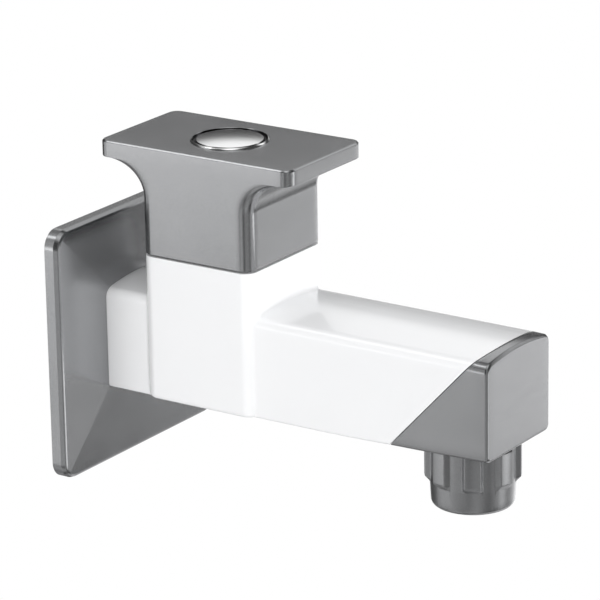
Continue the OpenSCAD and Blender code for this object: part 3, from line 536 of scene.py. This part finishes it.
rings = [nozzle_ring(z, r) for z, r in
         [(neck_top, neck_bore), (neck_top, neck_r - neck_bevel), (neck_top - neck_bevel, neck_r),
          (arm_floor, neck_r), (arm_floor, barrel_r), (rib_high + 0.05, barrel_r)]]
# Down each rib: its top edge is broken, and its foot slopes back to the barrel
rings += [nozzle_ring(rib_high - down, barrel_r, rib_r - cut) for down, cut in
          [(0, 0.3), (0.12, 0.08), (0.3, 0)]]
rings += [nozzle_ring(rib_low + up, barrel_r, rib_r - cut) for up, cut in
          [(6.7, 0), (1.9, 0), (1.5, 0.06), (1.2, 0.24), (0.3, 1.12), (0.12, 1.26), (0, 1.3)]]
rings.append(nozzle_ring(rib_low - 0.04, barrel_r))
rings += [nozzle_ring(z, barrel(z)) for z in (-26.5, -28.5, nozzle_low + lip_round)]
rings += [nozzle_ring(nozzle_low + lip_round * (1 - math.sin(t)), tip_r - lip_round * (1 - math.cos(t)))
          for t in quarter[1:]]
rings += [nozzle_ring(z, r) for z, r in
          [(nozzle_low, barrel_bore + bore_bevel), (nozzle_low + bore_bevel, barrel_bore),
           (shoulder_z, barrel_bore), (shoulder_z, neck_bore), (neck_top, neck_bore)]]
knit("nozzle_shell_lacquered", [np.array(rings)], silver_lacquer("matt_lacquer", 0.1), "fixed_parts",
     ["nozzle_shell"], sharp=38)


# Aerator
# A white plastic cup with a grid across its outlet holds two wire screens and a perforated plate. A rubber
# ring seals it against the nozzle's shoulder, and a washer the neck in the body. All keep their CAD shape.

def moulded_plastic():
    """Plain white plastic with a fine matt moulding grain."""
    made, tree, skin, place = finish("moulded_plastic")
    grain = grained(tree, place, 2600, 2)
    join(tree, skin, {
        "Base Color": tinted(tree, grained(tree, place, 90, 2), (0.78, 0.785, 0.79), (0.85, 0.85, 0.85)),
        "Roughness": between(tree, grain, 0.42, 0.55),
        "Normal": bumped(tree, grain, 0.25, 0.00003)})
    return made


def black_rubber():
    """Black nitrile rubber: dull, with a bloom of paler dust."""
    made, tree, skin, place = finish("black_rubber")
    bloom = grained(tree, place, 380, 4)
    join(tree, skin, {
        "Base Color": tinted(tree, bloom, (0.018, 0.018, 0.019), (0.05, 0.05, 0.052)),
        "Roughness": between(tree, bloom, 0.5, 0.75),
        "Normal": bumped(tree, grained(tree, place, 4200, 2), 0.3, 0.00004)})
    return made


def stainless_steel():
    """Drawn stainless steel with fine marks along one axis."""
    made, tree, skin, place = finish("stainless_steel")
    drawn = grained(tree, place, 2400, 3, (0.08, 1.0, 1.0))
    join(tree, skin, {
        "Base Color": tinted(tree, drawn, (0.50, 0.50, 0.51), (0.62, 0.62, 0.63)),
        "Roughness": between(tree, drawn, 0.24, 0.42),
        "Normal": bumped(tree, drawn, 0.2, 0.00002),
        "Metallic": 1.0})
    return made


def dress(material, slot, *names):
    """Gives CAD nodes a finish: every material slot of each node takes this material."""
    for name in names:
        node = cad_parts[name]
        if not node.material_slots:
            node.data.materials.append(material)
        for held in node.material_slots:
            held.material = material


plain, rubber, steel = moulded_plastic(), black_rubber(), stainless_steel()
dress(plain, "inner_plastic", "aerator_cup", "jet_plate")
dress(steel, "steel", "aerator_screen_upper", "aerator_screen_lower")
dress(rubber, "rubber", "aerator_ring", "nozzle_washer")


# Valve
# A turned brass housing screws into the tower and holds two lapped ceramic discs, the lower keyed to it and
# the upper driven by the spindle. O-rings seal the spindle and the housing, and a spring clip keeps the
# spindle in.

def turned_brass():
    """Turned brass: fine rings about the tower's axis left by the tool, with a warm uneven tarnish."""
    made, tree, skin, place = finish("turned_brass")
    centred = add(tree, "Mapping", {"Vector": place, "Location": (-tower_x / 1000, 0, 0)})
    lines = add(tree, "TexWave", {"Vector": centred.outputs[0], "Scale": 1400, "Distortion": 0.6,
                                  "Detail": 2.0}, wave_type="RINGS", rings_direction="Z")
    tarnish = grained(tree, place, 160, 4)
    join(tree, skin, {
        "Base Color": tinted(tree, tarnish, (0.60, 0.42, 0.17), (0.78, 0.59, 0.29)),
        "Roughness": between(tree, tarnish, 0.2, 0.4),
        "Normal": bumped(tree, lines.outputs["Color"], 0.2, 0.00002),
        "Metallic": 1.0})
    return made


def lapped_ceramic():
    """Ivory alumina, lapped almost mirror flat, with tiny darker grains."""
    made, tree, skin, place = finish("lapped_ceramic")
    specks = add(tree, "TexVoronoi", {"Vector": place, "Scale": 5200})
    join(tree, skin, {
        "Base Color": tinted(tree, specks.outputs["Distance"], (0.82, 0.80, 0.75), (0.89, 0.88, 0.84)),
        "Roughness": between(tree, grained(tree, place, 300, 3), 0.1, 0.22)})
    return made


dress(turned_brass(), "brass", "valve_housing", "spindle")
dress(lapped_ceramic(), "ceramic", "fixed_disc", "moving_disc")
dress(rubber, "rubber", "housing_o_ring", "seat_seal", "spindle_o_ring_lower", "spindle_o_ring_upper")
dress(plain, "inner_plastic", "thrust_washer")
dress(steel, "steel", "retaining_clip")


# Handle
# One lacquered moulding: a square skirt over the valve's neck that flares into a long top plate, with a boss
# for the spindle inside, left without its splines. The upright corners are round and run out in the hollows
# under the plate.

skirt_low, flare_z, flare_out, flare_end = 28.7, 44.6, 12.8, math.radians(88)
plate_low, plate_top, plate_half, plate_corner, plate_bevel, plate_round = 54.9, 59.6, 31.95, 3.1, 0.6, 0.35
recess_r, recess_low, head_r, head_low, screw_r = 11.0, 56.4, 4.0, 52.2, 2.15
spline_r, spline_top, boss_r, boss_low = 4.0, 49.6, 7.0, 41.7
hollow_half, hollow_corner, hollow_top = 15.65, 1.5, 47.0


def handle_ring(z, half_x, corner_x, corner_y=None, half_y=tower_half):
    """A rounded rectangle about the tower's axis at this height."""
    return about_tower(rounded_rectangle(half_x, half_y, corner_x, corner_y), z)


def eased(z, cut, half_x, corner):
    """A ring whose four sides and corners all lie in by the same cut."""
    return handle_ring(z, half_x - cut, corner - cut, None, tower_half - cut)


rings = [eased(skirt_low + up, cut, tower_half, tower_corner) for up, cut in
         [(0, 0.25), (0.08, 0.08), (0.25, 0), (12.3, 0)]]

# The flare is a quarter ellipse. The corner's radius, measured square to it, runs out as it turns level, but
# stays large enough to lie inside the plate's round corner.
last_corner, run_out, widest, inside_plate = 0.25, 2.5, 8.0, 0.32
for t in np.linspace(0, flare_end, 23):
    half_x = tower_half + flare_out * (1 - math.cos(t))
    corner = last_corner + (tower_corner - last_corner) * (1 - (t / flare_end) ** run_out)
    corner_x = min(corner / math.cos(t), widest)
    corner_y = max(corner, inside_plate * (half_x - plate_half + plate_corner))
    rings.append(handle_ring(flare_z + (plate_low - flare_z) * math.sin(t), half_x, corner_x, corner_y))
rings.append(handle_ring(plate_low, tower_half + flare_out + 0.4, 2.9, 2.7))

for t in np.radians(np.linspace(0, 90, 5)):
    cut = plate_round * (1 - math.sin(t))
    up = plate_round * (1 - math.cos(t))
    rings.append(handle_ring(plate_low + up, plate_half - cut, plate_corner - cut, plate_corner))
# The plate's top edge is a bevel with a small round on each side of it
rings += [eased(plate_top - plate_bevel * drop, plate_bevel * cut, plate_half, plate_corner) for cut, drop in
          [(0, 1), (0.05, 0.78), (0.15, 0.65), (0.4, 0.4), (0.65, 0.15), (0.78, 0.05), (1, 0)]]

# Down the middle: the cap's recess, the screw's seat and hole, the spindle's socket, the boss and the hollow
rings += [tower_circle(z, r) for z, r in
          [(plate_top, recess_r + 0.06), (plate_top - 0.08, recess_r), (recess_low, recess_r),
           (recess_low, head_r), (head_low, head_r), (head_low, screw_r), (spline_top, screw_r),
           (spline_top, spline_r), (boss_low, spline_r), (boss_low, boss_r), (hollow_top, boss_r)]]
rings += [handle_ring(z, hollow_half, hollow_corner, None, hollow_half) for z in (hollow_top, skirt_low)]
knit("handle_lacquered", [np.array(rings + rings[:1])], silver, "handle_parts", ["handle"])


# Handle screw and index cap
# A steel screw draws the handle down on the spindle. Over it a chromium-plated cap snaps into the plate's
# round recess: a low dome with a groove and a raised lip round it, left bare on top.

dome_r, dome_top, dome_rise = 9.3, 60.5, 0.5
lip_in, lip_top_r, cap_r, cap_low, clip_low = 10.5, 10.56, 10.96, 58.1, 56.5


def chrome_plate():
    """Bright plating over a slightly wavy moulding, with faint wiping marks; the round groove is painted
    nearly black as shade.
    """
    made, tree, skin, place = finish("chrome_plate")
    wiped = grained(tree, place, 1500, 3, (0.1, 1.0, 1.0))
    level = add(tree, "VectorMath", {0: place, 1: (1, 1, 0)}, operation="MULTIPLY").outputs[0]
    axis = (tower_x / 1000, 0, 0)
    out = add(tree, "VectorMath", {0: level, 1: axis}, operation="DISTANCE").outputs["Value"]
    past_dome = between(tree, out, 0.0, 1.0, dome_r / 1000, (dome_r + 0.15) / 1000)
    before_lip = between(tree, out, 1.0, 0.0, lip_in / 1000, lip_top_r / 1000)
    # Mask of the round groove between the dome and the lip, where shade is painted into the colour
    painted_groove_shade = worked(tree, "MULTIPLY", past_dome, before_lip)
    plating = tinted(tree, wiped, (0.86, 0.865, 0.87), (0.93, 0.93, 0.93))
    join(tree, skin, {
        # Painted shade: the groove's plating is coloured nearly black to stand in for its shade and dark
        # reflection
        "Base Color": tinted(tree, painted_groove_shade, plating, (0.07, 0.07, 0.075)),
        "Roughness": between(tree, wiped, 0.12, 0.2),
        "Normal": bumped(tree, grained(tree, place, 260, 1), 0.25, 0.00004),
        "Metallic": 1.0})
    return made


dress(steel, "steel", "handle_screw")

# Half section as radii and heights: the dome is an arc, and the groove, lip and snap-in rim follow
swing = math.asin(2 * dome_r * dome_rise / (dome_r ** 2 + dome_rise ** 2))
dome = [(dome_r * math.sin(t) / math.sin(swing), dome_top - dome_r * (1 - math.cos(t)) / math.sin(swing))
        for t in np.linspace(0, swing, 9)]
groove = [(9.36, 59.9), (9.42, 59.7), (9.52, 59.55), (9.7, 59.45), (10.0, 59.42), (10.2, 59.52),
          (10.36, 59.7), (10.46, 59.95)]
lip = [(10.51, 60.1), (lip_top_r, 60.15), (10.63, 60.12), (10.94, 59.72), (cap_r, 59.66)]
under = [(cap_r, cap_low), (9.8, cap_low), (9.8, clip_low), (8.7, clip_low), (8.7, cap_low), (0, cap_low)]
profile = np.array(dome + groove + lip + under)
turn = np.radians(np.linspace(0, 360, 97)[:-1])
turned = np.stack([tower_x + profile[:, :1] * np.cos(turn), profile[:, :1] * np.sin(turn),
                   np.repeat(profile[:, 1:], len(turn), axis=1)], -1)
knit("index_cap_plated", [turned], chrome_plate(), "handle_parts", ["index_cap"], sharp=40)


# Camera
# A long lens, slightly rolled, looks at the tap from its -Y side, partly from the front and a little from
# above. Lengths are metres.

azimuth, elevation, roll = math.radians(34.124), math.radians(18.222), math.radians(-0.979)
aim, distance = np.array([0.060323, 0, 0.016813]), 1.030389
focal_pixels, picture_pixels, sensor = 3726.682, 600, 36
level_way = np.array([math.sin(azimuth), -math.cos(azimuth), 0])
back = level_way * math.cos(elevation) + np.array([0, 0, math.sin(elevation)])
right = np.array([math.cos(azimuth), math.sin(azimuth), 0])
up = np.cross(back, right)


def placed(across, upward, backward, spot):
    """The matrix of something that looks along minus its third axis, from its three axes and its place."""
    matrix = np.eye(4)
    matrix[:3, :3] = np.column_stack([across, upward, backward])
    matrix[:3, 3] = spot
    return Matrix(matrix.tolist())


lens = bpy.data.cameras.new("camera")
lens.lens = focal_pixels / picture_pixels * sensor
lens.sensor_width = sensor
lens.clip_start, lens.clip_end = 0.05, 20
camera = bpy.data.objects.new("camera", lens)
camera.matrix_world = placed(math.cos(roll) * right + math.sin(roll) * up,
                             math.cos(roll) * up - math.sin(roll) * right, back, aim + back * distance)
bpy.context.collection.objects.link(camera)
bpy.context.scene.camera = camera


# Floor and light
# A plain white floor throws light up from below, and is clear to the camera, which sees the white studio. Six
# large soft lamps give the light. The glossy parts mirror the studio's dark walls and the soft cards on them.

floor_half, floor_low, lamp_size = 4, -0.3, 0.9
white_colour, soft_strength, wall_strength = (1, 1, 1, 1), 0.28, 0.05

floor_mesh = bpy.data.meshes.new("floor")
corners = [(x * floor_half, y * floor_half, floor_low) for x, y in [(-1, -1), (1, -1), (1, 1), (-1, 1)]]
floor_mesh.from_pydata(corners, [], [(0, 1, 2, 3)])
floor = bpy.data.objects.new("floor", floor_mesh)
bpy.context.collection.objects.link(floor)
paper = bpy.data.materials.new("floor_paper")
paper.use_nodes = True
tree = paper.node_tree
tree.nodes.clear()
rays = add(tree, "LightPath").outputs
pale = add(tree, "BsdfDiffuse", {"Color": (0.8, 0.8, 0.8, 1)}).outputs[0]
clear = add(tree, "BsdfTransparent").outputs[0]
passing = worked(tree, "MAXIMUM", rays["Is Camera Ray"], rays["Is Glossy Ray"])
sheer = add(tree, "MixShader", {0: passing, 1: pale, 2: clear})
add(tree, "OutputMaterial", {"Surface": sheer.outputs[0]})
floor_mesh.materials.append(paper)

studio = bpy.data.worlds.new("studio")
bpy.context.scene.world = studio
studio.use_nodes = True
tree = studio.node_tree
tree.nodes.clear()
facing = add(tree, "TexCoord").outputs["Generated"]


def hung(bearing, height, size, soft, strength):
    """A round soft card on the studio's wall: full strength within the angle size, fading out over soft more.

    Bearing runs anticlockwise from +X and height is the angle over the horizon, both in degrees.
    """
    turn, lift = math.radians(bearing), math.radians(height)
    to = (math.cos(turn) * math.cos(lift), math.sin(turn) * math.cos(lift), math.sin(lift))
    cosine = add(tree, "VectorMath", {0: facing, 1: to}, operation="DOT_PRODUCT").outputs["Value"]
    edge, full = math.cos(math.radians(size + soft)), math.cos(math.radians(size))
    return add(tree, "MapRange", {"Value": cosine, "From Min": edge, "From Max": full, "To Min": 0.0,
                                  "To Max": strength}, interpolation_type="SMOOTHSTEP").outputs[0]


# Cards as bearing, height, full angle, soft angle and strength. These hang as far under the horizon as the
# camera is over it, where its view goes on from upright faces and corners. The last is the white behind.
cards = [(-158, -18, 4, 16, 0.75), (-137, -18, 3, 14, 0.65), (-122, -18, 3, 12, 0.4),
         (-104, -18, 3, 14, 0.46), (-86, -18, 3, 12, 0.6), (-40, -18, 8, 22, 0.36), (4, -18, 4, 14, 0.6),
         (26, -18, 3, 10, 2.3), (44, -18, 2, 8, 0.55), (59, -18, 2, 6, 1.1), (68, -18, 2, 7, 1.3),
         (96, -18, 6, 18, 1.3), (124, -18, 9, 12, 1.0)]
# Over them, what the top edges, the plate's top, the chrome dome and the spout's top see
cards += [(-125, -6, 2, 10, 2.2), (-134, 14, 8, 16, 0.7), (-150, 52, 10, 22, 0.5), (-150, 52, 2, 8, 3.0),
          (155, 46, 6, 16, 0.3), (-56, 62, 6, 18, 1.1), (0, 85, 8, 20, 0.7), (68, 32, 4, 12, 1.2),
          (54, 8, 4, 10, 1.1), (108, 3, 3, 8, 0.5), (100, 38, 4, 10, 0.8), (124, 18, 3, 10, 0.06),
          (124, 31, 4, 12, 1.0), (-45, 22, 10, 20, 0.3)]
# Under them, what the undersides, the lower edges and the handle's flare see
cards += [(-125, -50, 8, 18, 0.65), (-60, -48, 8, 20, 0.45), (58, -37, 3, 8, 0.6), (58, -48, 6, 14, 0.6),
          (92, -36, 8, 14, 0.5), (58, -72, 12, 20, 0.7), (165, -48, 8, 20, 0.35)]
level = wall_strength
for card in cards:
    level = worked(tree, "ADD", level, hung(*card))

rays = add(tree, "LightPath").outputs
soft_light, walls, white_behind = [
    add(tree, "Background", {"Color": white_colour, "Strength": strength}).outputs[0]
    for strength in (soft_strength, level, 1.0)]
gloss = add(tree, "MixShader", {0: rays["Is Glossy Ray"], 1: soft_light, 2: walls}).outputs[0]
all_seen = add(tree, "MixShader", {0: rays["Is Camera Ray"], 1: gloss, 2: white_behind}).outputs[0]
add(tree, "OutputWorld", {"Surface": all_seen})

# Lamps as name, place in metres and power in watts; they face the tap and aren't mirrored themselves
for name, spot, power in [("lamp_left", (-0.2, -1.3, 0.7), 7.4), ("lamp_low", (-0.35, -1.35, 0.0), 1.4),
                          ("lamp_front", (1.0, -0.9, 0.3), 5.4), ("lamp_right", (1.35, 0.15, 0.45), 12.4),
                          ("lamp_over", (0.1, 0.1, 1.3), 3.9), ("lamp_back", (-0.9, 1.0, 0.5), 6.0)]:
    lamp = bpy.data.lights.new(name, "AREA")
    lamp.shape, lamp.size, lamp.energy = "SQUARE", lamp_size, power
    holder = bpy.data.objects.new(name, lamp)
    toward = np.array(spot) - aim
    toward /= np.linalg.norm(toward)
    nearly_overhead = toward[2] > 0.9
    across = np.cross([0, 1, 0] if nearly_overhead else [0, 0, 1], toward)
    across /= np.linalg.norm(across)
    holder.matrix_world = placed(across, np.cross(toward, across), toward, spot)
    holder.visible_glossy = False
    bpy.context.collection.objects.link(holder)

bpy.context.scene.view_settings.view_transform = "Standard"
